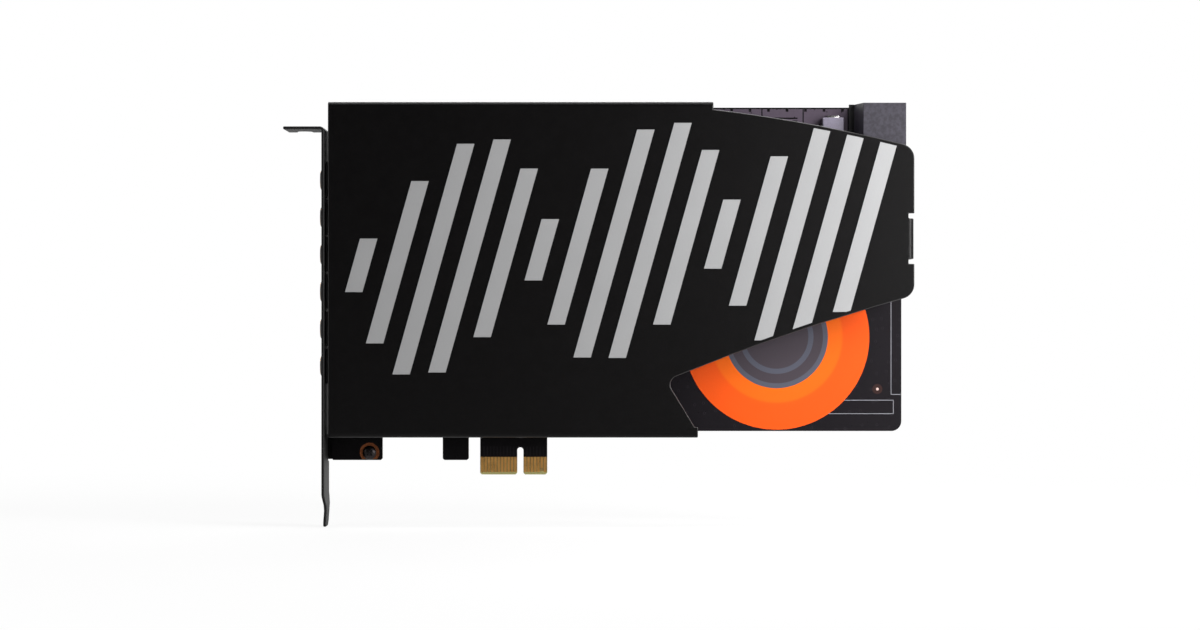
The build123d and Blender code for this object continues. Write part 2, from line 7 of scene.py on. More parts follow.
import bmesh
import bpy
from bpy.props import FloatProperty, FloatVectorProperty, IntProperty, PointerProperty
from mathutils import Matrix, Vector


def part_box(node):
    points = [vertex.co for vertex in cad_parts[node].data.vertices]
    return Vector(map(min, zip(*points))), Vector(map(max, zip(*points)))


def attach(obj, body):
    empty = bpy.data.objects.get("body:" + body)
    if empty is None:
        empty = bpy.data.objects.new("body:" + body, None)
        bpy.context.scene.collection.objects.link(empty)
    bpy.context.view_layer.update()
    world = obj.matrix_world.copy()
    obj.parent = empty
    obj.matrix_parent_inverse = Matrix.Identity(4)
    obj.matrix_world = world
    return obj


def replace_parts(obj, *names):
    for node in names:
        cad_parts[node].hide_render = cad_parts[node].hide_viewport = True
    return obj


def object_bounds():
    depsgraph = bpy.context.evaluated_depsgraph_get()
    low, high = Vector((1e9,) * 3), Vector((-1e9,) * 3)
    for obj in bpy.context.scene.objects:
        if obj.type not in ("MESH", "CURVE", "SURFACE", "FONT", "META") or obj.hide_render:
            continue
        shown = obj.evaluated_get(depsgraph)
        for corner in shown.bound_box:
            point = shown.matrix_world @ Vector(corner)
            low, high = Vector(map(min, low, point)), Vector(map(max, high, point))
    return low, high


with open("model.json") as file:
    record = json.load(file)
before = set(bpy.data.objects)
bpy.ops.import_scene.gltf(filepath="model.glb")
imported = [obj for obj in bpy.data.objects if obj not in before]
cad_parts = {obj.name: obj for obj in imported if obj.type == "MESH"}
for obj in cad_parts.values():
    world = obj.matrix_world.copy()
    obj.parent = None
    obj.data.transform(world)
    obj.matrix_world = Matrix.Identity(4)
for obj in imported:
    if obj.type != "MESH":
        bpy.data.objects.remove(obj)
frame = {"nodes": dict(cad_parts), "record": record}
CAD_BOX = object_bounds()

bl_info = {
    "name": "Sound Card Dressing",
    "version": (1, 0, 0),
    "blender": (4, 5, 0),
    "location": "View3D > Sidebar > Sound Card",
    "description": "Finishes, fittings and stage for an expansion-slot sound card",
    "category": "Object",
}

MM = 0.001
OUT_OF_FRONT = Vector((0, -1, 0))
MERGE_DISTANCE = 0.001 * MM
ROUNDING = "rounding"
HOUSING = "_jack_housing"
LEAVES = "_jack_leaves"
BOARD_LOW, BOARD_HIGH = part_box("circuit_board")
COMPONENT_SIDE = BOARD_LOW.y
SOLDER_SIDE = BOARD_HIGH.y
JACK_NAMES = sorted(name.removesuffix(HOUSING) for name in frame["nodes"] if name.endswith(HOUSING))
JACK_MOUNTS = [mount for mount in frame["record"]["mounts"] if mount["kind"] == "bore"]


def colour(name, subject, default):
    """Property for the colour of a subject, in a settings group."""
    text = "Colour of " + subject
    return FloatVectorProperty(
        name=name, description=text, subtype="COLOR", size=3, min=0.0, max=1.0, default=default
    )


def length(name, description, default):
    """Length property of a settings group."""
    return FloatProperty(name=name, description=description, unit="LENGTH", precision=5, default=default)


def factor(name, description, default):
    """Share from nothing to all, as a property of a settings group."""
    return FloatProperty(
        name=name, description=description, subtype="FACTOR", min=0.0, max=1.0, default=default
    )


class CoverSettings(bpy.types.PropertyGroup):
    """Powder coat and silver print of the cover, and paint of the bracket."""

    powder: colour("Powder coat", "the cover's powder coat", (0.0009, 0.0007, 0.0008))
    powder_light: colour("Powder grain", "the coat's lighter grains", (0.0034, 0.0026, 0.003))
    # Lighter colour of the rounded cut edges: partly paint thin there, partly a painted edge highlight
    thin_coat_and_highlight: colour("Thin coat", "the coat where it is thin on a cut edge", (0.034, 0.033, 0.033))
    powder_grain: length("Grain", "Size of a grain of the powder coat", 0.28 * MM)
    silver: colour("Silver print", "the printed bars", (0.43, 0.43, 0.435))
    bracket: colour("Bracket paint", "the bracket's satin paint", (0.0032, 0.0032, 0.0033))
    sheet_edge: length("Sheet edge", "Rounding of the edges of cut sheet", 0.25 * MM)


class BoardSettings(bpy.types.PropertyGroup):
    """Solder mask, laminate, legend and plating of the circuit board."""

    mask: colour("Solder mask", "the mask over bare laminate", (0.0022, 0.0017, 0.0022))
    pour: colour("Copper pour", "the mask where copper lies under it", (0.0105, 0.0088, 0.0112))
    power_pour: colour("Power pour", "the mask over copper at the socket", (0.085, 0.067, 0.09))
    laminate: colour("Laminate", "the bare board at the slot edge", (0.44, 0.41, 0.17))
    rim_dark: colour("Rim shade", "the dark strands in the board's rim", (0.035, 0.029, 0.016))
    rim_light: colour("Rim", "the light strands in the board's rim", (0.075, 0.062, 0.03))
    contact_gap: colour("Contact gap", "the bare board between contacts", (0.26, 0.17, 0.06))
    legend: colour("Legend ink", "the printed lines on the board", (0.24, 0.24, 0.27))
    gold: colour("Gold plate", "the plated contacts", (0.86, 0.46, 0.135))
    copper: colour("Bare copper", "the ring round the bracket screw", (0.36, 0.12, 0.05))
    tin: colour("Tin plate", "tinned pins, leads and solder", (0.6, 0.59, 0.575))
    flash: colour("Gold flash", "the plated dot that places the board", (0.8, 0.56, 0.5))
    clearing: colour("Clearing", "the ring round the plated dot", (0.024, 0.009, 0.008))
    legend_line: length("Legend line", "Width of a printed line", 0.16 * MM)
    pad_flat: length("Pad flat", "From the bracket screw's axis down to its pad's cut edge", 1.98 * MM)


class LabelSettings(bpy.types.PropertyGroup):
    """Rings printed on the round label."""

    orange: colour("Orange", "the broad ring", (0.9, 0.093, 0.003))
    amber: colour("Amber", "the broad ring's inner margin", (0.93, 0.14, 0.0025))
    centre: colour("Centre", "the label's middle", (0.062, 0.05, 0.062))
    thin_ring: colour("Thin rings", "the two thin rings", (0.09, 0.094, 0.125))
    shade: colour("Grain", "the grain in the printed film", (0.02, 0.01, 0.01))
    hole: length("Ring hole", "Radius of the broad ring's inner edge", 15.6 * MM)
    margin: length("Amber margin", "Width of the broad ring's inner margin", 4.4 * MM)


class FittingSettings(bpy.types.PropertyGroup):
    """Moulded parts, capacitors and other fittings."""

    plastic: colour("Black plastic", "the moulded housings", (0.02, 0.0185, 0.021))
    socket: colour("Socket plastic", "the power socket's housing", (0.02, 0.018, 0.0245))
    epoxy: colour("Chip epoxy", "the chips", (0.017, 0.017, 0.018))
    first_pin: colour("First pin", "the dot at a chip's first pin", (0.2, 0.2, 0.2))
    film: colour("Film capacitor", "the film capacitors' boxes", (0.36, 0.028, 0.022))
    sleeve: colour("Sleeve", "the round capacitors' sleeves", (0.014, 0.014, 0.017))
    stripe: colour("Sleeve stripe", "the stripe on a sleeve", (0.6, 0.47, 0.2))
    can: colour("Can", "bare aluminium", (0.78, 0.78, 0.79))
    crystal: colour("Crystal can", "the clock crystals' lids", (0.72, 0.69, 0.62))
    choke: colour("Choke", "the pressed chokes", (0.165, 0.15, 0.195))
    ceramic: colour("Ceramic", "the ceramic capacitors", (0.3, 0.19, 0.12))
    screw: colour("Screw", "the blackened screws", (0.058, 0.051, 0.052))
    moulded_edge: length("Moulded edge", "Rounding of moulded edges", 0.22 * MM)
    turns: IntProperty(name="Turns", description="Faces round a turned fitting", min=12, max=96, default=40)


class StageSettings(bpy.types.PropertyGroup):
    """Camera, lamps and floor."""

    distance: length("Camera distance", "From the camera to the board", 1.0)
    view_width: length("View width", "Width of the view at the board", 0.3636)
    view_x: length("View centre X", "Where along the card the camera looks", 24.15 * MM)
    view_z: length("View centre Z", "How high above the slot edge the camera looks", 48.33 * MM)
    floor: colour("Floor", "the floor", (0.86, 0.86, 0.86))
    floor_bounce: colour("Floor bounce", "the light that the floor throws back", (0.35, 0.35, 0.35))
    floor_glow: factor("Floor white", "Share of plain white in the floor that the camera sees", 0.86)
    floor_near: length("Shadow floor", "Reach of the floor that shows shadows", 0.12)
    floor_far: length("White floor", "Distance from which the floor is plain white", 0.42)
    ambient: factor("Ambient", "Strength of the soft light from all sides", 0.05)


class SoundCardSettings(bpy.types.PropertyGroup):
    """All settings of the sound card."""

    cover: PointerProperty(type=CoverSettings, name="Cover", description="Cover and bracket")
    board: PointerProperty(type=BoardSettings, name="Board", description="Circuit board")
    label: PointerProperty(type=LabelSettings, name="Label", description="Round label")
    fittings: PointerProperty(type=FittingSettings, name="Fittings", description="Parts on the board")
    stage: PointerProperty(type=StageSettings, name="Stage", description="Camera, lamps and floor")


def settings():
    """All settings of the sound card in the open scene."""
    return bpy.context.scene.sound_card


class Value:
    """An output of a finish's node tree, so that shader maths reads as an expression."""

    def __init__(self, finish, socket):
        self.finish = finish
        self.socket = socket

    def math(self, operation, *values):
        """Result of a Math node on values and numbers."""
        return self.finish.node("ShaderNodeMath", {"operation": operation}, dict(enumerate(values)))

    def __add__(self, other):
        return self.math("ADD", self, other)

    def __sub__(self, other):
        return self.math("SUBTRACT", self, other)

    def __rsub__(self, other):
        return self.math("SUBTRACT", other, self)

    def __mul__(self, other):
        return self.math("MULTIPLY", self, other)

    def __mod__(self, other):
        return self.math("FLOORED_MODULO", self, other)

    def __gt__(self, other):
        return self.math("GREATER_THAN", self, other)

    def __lt__(self, other):
        return self.math("LESS_THAN", self, other)

    def __abs__(self):
        return self.math("ABSOLUTE", self)

    __radd__ = __add__
    __rmul__ = __mul__


class NodeTree:
    """The nodes of a material or of the world, added and linked one call at a time."""

    def __init__(self, owner):
        owner.use_nodes = True
        self.tree = owner.node_tree

    def feed(self, socket, value):
        """Link a value to a socket, or set the socket's own number or colour."""
        if isinstance(value, Value):
            self.tree.links.new(value.socket, socket)
        elif socket.type == "RGBA":
            socket.default_value = (*value[:3], 1.0)
        else:
            socket.default_value = value

    def node(self, kind, options=None, sockets=None, output=0):
        """Add a node, set it up, then fill its sockets, and return one of its outputs."""
        made = self.tree.nodes.new(kind)
        for name, value in (options or {}).items():
            setattr(made, name, value)
        for name, value in (sockets or {}).items():
            self.feed(made.inputs[name], value)
        return Value(self, made.outputs[output])

    def step(self, value, low, high):
        """Smooth step from 0 to 1 as a value goes from low to high."""
        return self.node(
            "ShaderNodeMapRange",
            {"interpolation_type": "SMOOTHSTEP"},
            {"Value": value, "From Min": low, "From Max": high},
        )

    def background_rays(self, behind):
        """1 for the camera's own rays, and a mask of what is behind for those sent on by gloss or glass."""
        camera, glossy, through = (
            self.node("ShaderNodeLightPath", output=name)
            for name in ("Is Camera Ray", "Is Glossy Ray", "Is Transmission Ray")
        )
        sent_on = camera.math("MAXIMUM", glossy, through)
        return camera.math("MAXIMUM", camera, sent_on * behind)


class Finish(NodeTree):
    """A procedural material: its shader, and the nodes that feed it."""

    def __init__(self, name, **constants):
        self.material = bpy.data.materials.new(name)
        super().__init__(self.material)
        self.shader = self.tree.nodes["Principled BSDF"]
        self.surface(**constants)

    def surface(self, **inputs):
        """Fill the shader's sockets, named in lower case with underscores."""
        for name, value in inputs.items():
            title = name.replace("_", " ").title().replace("Ior", "IOR")
            self.feed(self.shader.inputs[title], value)

    def place(self):
        """Position on the card, in millimetres."""
        position = self.node("ShaderNodeTexCoord", output="Object")
        return self.node("ShaderNodeVectorMath", {"operation": "SCALE"}, {0: position, "Scale": 1 / MM})

    def axes(self):
        """The three coordinates of a place on the card, in millimetres."""
        first = self.node("ShaderNodeSeparateXYZ", sockets={0: self.place()})
        return [Value(self, output) for output in first.socket.node.outputs]

    def facing(self):
        """How squarely the surface faces the front or the back."""
        normal = self.node("ShaderNodeNewGeometry", output="Normal")
        return abs(self.node("ShaderNodeSeparateXYZ", sockets={0: normal}, output="Y"))

    def rounding(self):
        """1 on the rounded edges of a softened copy, and 0 elsewhere."""
        return self.node("ShaderNodeAttribute", {"attribute_name": ROUNDING}, output="Fac")

    def noise(self, size, detail=2.0, stretch=(1.0, 1.0, 1.0)):
        """Soft noise with features of about a size in metres, from 0 to 1."""
        stretched = self.node(
            "ShaderNodeVectorMath", {"operation": "MULTIPLY"}, {0: self.place(), 1: Vector(stretch)}
        )
        pattern = {"Vector": stretched, "Scale": MM / size, "Detail": detail}
        return self.node("ShaderNodeTexNoise", sockets=pattern)

    def blend(self, share, first, second):
        """Colour between two others."""
        return self.node("ShaderNodeMix", {"data_type": "RGBA"}, {0: share, 6: first, 7: second}, output=2)

    def bump(self, height, depth, strength=1.0):
        """Relief of a depth in metres."""
        relief = {"Height": height, "Distance": depth, "Strength": strength}
        return self.node("ShaderNodeBump", sockets=relief)


def only(kind, items):
    """Those of a mesh operator's results that are of one kind."""
    return [item for item in items if isinstance(item, kind)]


class Bundle(NamedTuple):
    """Traces side by side along the card, with one step on their way. Lengths are in millimetres."""

    left: float
    right: float
    low: float
    pitch: float
    count: int
    step_at: float
    step: float


FRONT_BUNDLES = (
    Bundle(left=40.0, right=96.0, low=60.0, pitch=1.0, count=8, step_at=64.0, step=6.0),
    Bundle(left=58.0, right=84.0, low=103.4, pitch=0.9, count=3, step_at=72.0, step=1.6),
)
BACK_BUNDLES = (
    Bundle(left=-44.0, right=22.0, low=30.0, pitch=0.9, count=10, step_at=-20.0, step=8.0),
    Bundle(left=-40.0, right=40.0, low=52.0, pitch=1.0, count=8, step_at=6.0, step=10.0),
    Bundle(left=-42.0, right=30.0, low=84.0, pitch=1.1, count=6, step_at=-8.0, step=-6.0),
    Bundle(left=52.0, right=104.0, low=70.0, pitch=1.0, count=9, step_at=66.0, step=10.0),
    Bundle(left=14.0, right=44.0, low=14.6, pitch=1.2, count=5, step_at=26.0, step=5.0),
    Bundle(left=50.0, right=100.0, low=22.0, pitch=1.2, count=5, step_at=70.0, step=-4.0),
)


def within(value, low, high):
    """Mask of the places where a shader value lies between two numbers."""
    return (value > low) * (value < high)


def paint(node, finish):
    """Give a solid of the card its finish."""
    for slot in frame["nodes"][node].material_slots:
        slot.material = finish.material


def add_object(name, shape, finish):
    """Make an object of a finished mesh."""
    mesh = bpy.data.meshes.new(name)
    shape.to_mesh(mesh)
    shape.free()
    mesh.materials.append(finish.material)
    made = bpy.data.objects.new(name, mesh)
    bpy.context.scene.collection.objects.link(made)
    return made


def add_piece(name, shape, finish, sharp_angle=35.0):
    """Make a smoothly shaded object of a finished mesh, and let it ride on the card."""
    piece = add_object(name, shape, finish)
    piece.data.shade_smooth()
    piece.data.set_sharp_from_angle(angle=math.radians(sharp_angle))
    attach(piece, "root")
    return piece


def mesh_of(node):
    """Copy of a node's mesh, with its seams joined."""
    shape = bmesh.new()
    shape.from_mesh(frame["nodes"][node].data)
    bmesh.ops.remove_doubles(shape, verts=shape.verts, dist=MERGE_DISTANCE)
    return shape


def solids_of(node):
    """Lowest and highest corner of each separate solid in a node."""
    shape = mesh_of(node)
    waiting = set(shape.verts)
    boxes = []
    while waiting:
        reached = [waiting.pop()]
        for vert in reached:
            for edge in vert.link_edges:
                other = edge.other_vert(vert)
                if other in waiting:
                    waiting.remove(other)
                    reached.append(other)
        corners = list(zip(*[vert.co for vert in reached]))
        boxes.append((Vector(map(min, corners)), Vector(map(max, corners))))
    shape.free()
    return sorted(boxes, key=lambda box: tuple(box[0]))


def round_edges(shape, edges, radius):
    """Round some edges of a mesh, and return the faces of the rounding."""
    return bmesh.ops.bevel(
        shape, geom=edges, offset=radius, affect="EDGES", segments=2, profile=0.5, material=-1
    )["faces"]


def soften(node, edge, finish):
    """Stand a copy with rounded edges in for a solid."""
    shape = mesh_of(node)
    flat = math.radians(1)
    bmesh.ops.dissolve_limit(shape, angle_limit=flat, verts=shape.verts, edges=shape.edges)
    rounding = shape.faces.layers.float.new(ROUNDING)
    corner = math.radians(40)
    sharp = [item for item in shape.edges if item.is_manifold and item.calc_face_angle() > corner]
    for face in round_edges(shape, sharp, edge):
        face[rounding] = 1.0
    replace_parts(add_piece(node + "_softened", shape, finish, sharp_angle=15.0), node)


def add_block(shape, low, high, edge=0.0):
    """Rectangular block between two corners, with rounded edges."""
    size = high - low
    made = bmesh.ops.create_cube(shape, size=1.0)["verts"]
    bmesh.ops.scale(shape, verts=made, vec=size)
    bmesh.ops.translate(shape, verts=made, vec=(low + high) / 2)
    if edge:
        edges = dict.fromkeys(link for vert in made for link in vert.link_edges)
        round_edges(shape, list(edges), edge)


def add_turned(shape, profile, foot, axis, turns, closed=False):
    """Turned form from pairs of radius and height, round an axis through a foot point."""
    axis = Vector(axis)
    side = axis.orthogonal().normalized()
    verts = [shape.verts.new(foot + side * radius + axis * height) for radius, height in profile]
    pairs = list(zip(verts, verts[1:]))
    if closed:
        pairs.append((verts[-1], verts[0]))
    edges = [shape.edges.new(pair) for pair in pairs]
    before = set(shape.faces)
    bmesh.ops.spin(
        shape, geom=verts + edges, cent=foot, axis=axis, angle=math.tau, steps=turns, use_merge=True
    )
    made = [face for face in shape.faces if face not in before]
    seam = dict.fromkeys(vert for face in made for vert in face.verts)
    bmesh.ops.remove_doubles(shape, verts=list(seam), dist=2 * MERGE_DISTANCE)
    made = [face for face in shape.faces if face not in before]
    bmesh.ops.recalc_face_normals(shape, faces=made)


def scaled(radius, height, shares):
    """Profile from pairs of shares of a radius and of a height."""
    return [(across * radius, up * height) for across, up in shares]


def add_prism(shape, outline, sweep):
    """Prism on a flat outline of a few points, swept along a vector."""
    verts = [shape.verts.new(point) for point in outline]
    base = shape.faces.new(verts)
    moved = bmesh.ops.extrude_face_region(shape, geom=[base])["geom"]
    bmesh.ops.translate(shape, verts=only(bmesh.types.BMVert, moved), vec=sweep)
    faces = dict.fromkeys(face for vert in verts for face in vert.link_faces)
    bmesh.ops.recalc_face_normals(shape, faces=[*faces, *only(bmesh.types.BMFace, moved)])


def add_joint(shape, x, z, base, rise):
    """Pad and cone of solder round a tail that comes through the board."""
    pad = [(base, 0), (base, 0.06 * MM), (0.8 * base, 0.12 * MM)]
    cone = scaled(base, rise, [(0.58, 0.34), (0.42, 0.66), (0.24, 0.9), (0, 0.95)])
    add_turned(shape, pad + cone, Vector((x, SOLDER_SIDE, z)), -OUT_OF_FRONT, turns=18)


def powder_coat(name, dark, light, thin, grain, roughness, specular):
    """Fine textured paint of dark and lighter grains, with a slight orange peel; its rounded edges take a
    lighter colour, partly for paint thin there and partly as a painted edge highlight.
    """
    finish = Finish(name, specular_ior_level=specular)
    fine = finish.noise(grain, 3.0)
    broad = finish.noise(9 * grain, 1.0)
    speck = finish.step(fine, 0.45, 0.75)
    # Rounded edges get the thin-coat colour: partly thin paint, partly a painted edge highlight
    finish.surface(
        base_color=finish.blend(finish.rounding(), finish.blend(speck, dark, light), thin),
        roughness=roughness + 0.12 * (fine - 0.5) + 0.06 * (broad - 0.5),
        normal=finish.bump(fine + 0.4 * broad, 0.05 * MM, 0.35),
    )
    return finish


def silver_ink(name, silver):
    """Silver ink: flat metal flakes, with a faint weave of the printing screen."""
    finish = Finish(name, specular_ior_level=0.5)
    flake = finish.noise(0.09 * MM, 2.0)
    cloud = finish.noise(14 * MM, 1.0)
    shaded = [0.86 * channel for channel in silver]
    finish.surface(
        base_color=finish.blend(0.5 * finish.step(flake, 0.35, 0.65) + 0.5 * cloud, shaded, silver),
        metallic=0.4,
        roughness=0.42 + 0.1 * (flake - 0.5),
        normal=finish.bump(flake, 0.012 * MM, 0.25),
    )
    return finish


def plain_metal(name, tone, roughness, wear=0.25, stretch=(1.0, 1.0, 1.0), metallic=1.0):
    """Plated metal with faint drawing marks and duller patches."""
    finish = Finish(name, metallic=metallic)
    marks = finish.noise(0.12 * MM, 3.0, stretch)
    patch = finish.noise(2.2 * MM, 2.0)
    dull = [channel * (1 - wear) for channel in tone]
    finish.surface(
        base_color=finish.blend(finish.step(0.4 * marks + 0.6 * patch, 0.3, 0.7), dull, tone),
        roughness=roughness + 0.16 * (marks - 0.5) + 0.1 * (patch - 0.5),
        normal=finish.bump(marks, 0.006 * MM, 0.2),
    )
    return finish


def moulded(name, tone, roughness, grain=0.16 * MM, specular=0.4, contrast=1.5, foot=0.0):
    """Moulded plastic or epoxy with a fine eroded texture, and a painted shade at its foot: faces square to
    the board darkened up to a height above it.
    """
    finish = Finish(name, specular_ior_level=specular)
    fine = finish.noise(grain, 2.0)
    flow = finish.noise(5 * MM, 1.0)
    light = [min(1.0, contrast * channel) for channel in tone]
    body = finish.blend(0.6 * finish.step(fine, 0.3, 0.7) + 0.4 * flow, tone, light)
    # Painted shade: faces square to the board, within the foot height of it, are darkened to 0.08 of the
    # tone
    if foot:
        _, y, _ = finish.axes()
        painted_foot_shade = (y > (COMPONENT_SIDE - foot) / MM) * finish.step(finish.facing(), 0.5, 0.9)
        body = finish.blend(painted_foot_shade, body, [0.08 * channel for channel in tone])
    finish.surface(
        base_color=body,
        roughness=roughness + 0.18 * (fine - 0.5),
        normal=finish.bump(fine, 0.02 * MM, 0.3),
    )
    return finish


def trace_gaps(x, z, bundle):
    """Mask of the bare gaps between the traces of a bundle, which steps at forty-five degrees."""
    run = (x - bundle.step_at).math("MAXIMUM", x - bundle.step_at, 0.0)
    shift = run.math("MINIMUM", run, abs(bundle.step)) * math.copysign(1.0, bundle.step)
    level = z - bundle.low - shift
    gap = (level % bundle.pitch) < 0.5 * bundle.pitch
    height = bundle.pitch * (bundle.count + 0.5)
    return gap * within(level, 0.0, height) * within(x, bundle.left, bundle.right)


def field_gap(value, start, width=0.4):
    """Mask of the bare line between two poured fields."""
    return within(value, start, start + width)


def bare_gaps(x, z, on_back):
    """Mask of the places without copper on each side: round the traces and between the poured fields."""
    bare_rim = BOARD_HIGH.z / MM - 0.45
    tick, tick_pitch, ticks_left, fields_low = 0.8, 5.6, 60.0, 95.0
    in_tick = within(x % tick_pitch, 2.0, 2.0 + tick) * (x > ticks_left)
    ticks = within(z, bare_rim - tick, bare_rim) * in_tick
    front_fields = (field_gap(x, 73.0) + field_gap(x, 85.5)) * (z > fields_low)
    front_traces = sum(trace_gaps(x, z, bundle) for bundle in FRONT_BUNDLES)
    front = front_traces + front_fields + ticks + (z > bare_rim)
    split_x, split_z = 46.7, 97.4
    back_fields = field_gap(x, split_x - 0.5, 0.5)
    back_fields += field_gap(z, split_z - 0.4) * (x > split_x) + field_gap(x, 90.0) * (z > split_z)
    back_traces = sum(trace_gaps(x, z, bundle) for bundle in BACK_BUNDLES)
    return front * (1 - on_back) + (back_traces + back_fields) * on_back


def hole_distance(finish, x, z, pitch):
    """Distance to the nearest of the scattered tented holes, in millimetres."""
    flat = finish.node("ShaderNodeCombineXYZ", sockets={0: x, 1: z})
    return pitch * finish.node(
        "ShaderNodeTexVoronoi",
        {"voronoi_dimensions": "2D"},
        {"Vector": flat, "Scale": 1 / pitch, "Randomness": 0.8},
        output="Distance",
    )


def solder_mask(card):
    """Black mask over copper with traces and tented holes, and bare laminate at the slot edge and rim."""
    board = card.board
    contact_low, contact_high = (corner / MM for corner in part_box("edge_contacts"))
    socket_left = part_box("power_socket_housing")[0].x / MM
    finish = Finish("solder_mask", specular_ior_level=0.12)
    x, y, z = finish.axes()
    on_back = y > 0.0
    weave = finish.noise(0.5 * MM, 2.0)
    cloud = finish.noise(16 * MM, 2.0)
    tongue_margin = 1.2
    tongue = within(x, contact_low.x - tongue_margin, contact_high.x + tongue_margin)
    bare_edge = tongue * (z < contact_high.z)
    stub_width, stub_length, contact_pitch = 0.3, 3.2, 1.0
    in_stub = ((x + stub_width / 2) % contact_pitch) < stub_width
    stubs = tongue * within(z, contact_high.z, contact_high.z + stub_length) * in_stub
    pour_low = 12.6
    poured = (z > pour_low) * (1 - bare_gaps(x, z, on_back))
    land_radius, hole_radius, hole_pitch = 0.42, 0.2, 4.2
    nearest = hole_distance(finish, x, z, hole_pitch)
    land = poured * (nearest < land_radius)
    hole = poured * (nearest < hole_radius)
    power_left, power_low, socket_gap = 56.0, 86.0, 0.35
    power = within(x, power_left, socket_left - socket_gap) * (z > power_low) * (1 - on_back)
    light_pour = [1.6 * channel for channel in board.pour]
    masked = finish.blend(poured * (0.8 + 0.2 * cloud) + 0.7 * stubs, board.mask, board.pour)
    masked = finish.blend(power * poured * (1 - 0.2 * weave), masked, board.power_pour)
    masked = finish.blend(land * (1 - power), masked, light_pour)
    masked = finish.blend(0.85 * hole, masked, board.mask)
    laminate = finish.blend(0.5 * weave, board.laminate, [0.7 * channel for channel in board.laminate])
    laminate = finish.blend(finish.step(z, contact_low.z, contact_low.z + 0.4), laminate, board.contact_gap)
    rim = 1 - finish.step(finish.facing(), 0.3, 0.7)
    rim_tone = finish.blend(weave, board.rim_dark, board.rim_light)
    faced = finish.blend(bare_edge, masked, laminate)
    relief = 0.7 * poured + 0.3 * land - 0.8 * hole + 0.6 * stubs + 0.12 * weave
    finish.surface(
        base_color=finish.blend(rim * (1 - bare_edge), faced, rim_tone),
        roughness=0.3 + 0.12 * (weave - 0.5) + 0.3 * bare_edge + 0.3 * rim,
        normal=finish.bump(relief, 0.035 * MM, 0.6),
    )
    return finish


def label_print(card):
    """Round label: a broad orange ring with an amber margin, and two thin rings on a dark middle."""
    label = card.label
    low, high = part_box("round_label")
    middle = (low + high) / (2 * MM)
    hole = label.hole / MM
    finish = Finish("label_print", specular_ior_level=0.2)
    x, _, z = finish.axes()
    across = x - middle.x
    upward = z - middle.z
    radius = across.math("SQRT", across * across + upward * upward)
    grain = finish.noise(0.2 * MM, 2.0)
    margin_end = hole + label.margin / MM
    ring = finish.blend(finish.step(radius, margin_end - 0.5, margin_end + 0.5), label.amber, label.orange)
    thin = within(radius, hole - 1.5, hole) + within(radius, 0.62 * hole, 0.72 * hole)
    middle_tone = finish.blend(thin, label.centre, label.thin_ring)
    printed = finish.blend(finish.step(radius, hole - 0.05, hole + 0.05), middle_tone, ring)
    finish.surface(
        base_color=finish.blend(0.1 * grain, printed, label.shade),
        roughness=0.42 + 0.12 * (grain - 0.5),
        normal=finish.bump(grain, 0.01 * MM, 0.2),
    )
    return finish


def sleeve_film(name, sleeve, stripe, cans):
    """Shrunk sleeve with one stripe down the side of each can."""
    finish = Finish(name, specular_ior_level=0.5)
    x, _, z = finish.axes()
    wave = finish.noise(1.4 * MM, 1.0)
    mark = 0.0
    for low, high in cans:
        centre = (low + high) / (2 * MM)
        reach = (high.x - low.x) / (2 * MM)
        on_side = within(x - centre.x, 0.6 * reach, 2 * reach)
        mark = mark + within(z - centre.z, -0.35 * reach, 0.35 * reach) * on_side
    finish.surface(
        base_color=finish.blend(mark, sleeve, stripe),
        roughness=0.3 + 0.1 * (wave - 0.5),
        normal=finish.bump(wave, 0.03 * MM, 0.3),
    )
    return finish


class SOUNDCARD_OT_finish_cover(bpy.types.Operator):
    """Coat the cover and lay the silver ink on it"""

    bl_idname = "soundcard.finish_cover"
    bl_label = "Finish Cover"

    def execute(self, context):
        cover = settings().cover
        grains = cover.powder, cover.powder_light, cover.thin_coat_and_highlight
        coat = powder_coat("powder_coat", *grains, cover.powder_grain, roughness=0.36, specular=0.17)
        soften("cover", cover.sheet_edge, coat)
        paint("cover_print", silver_ink("silver_ink", cover.silver))
        return {"FINISHED"}


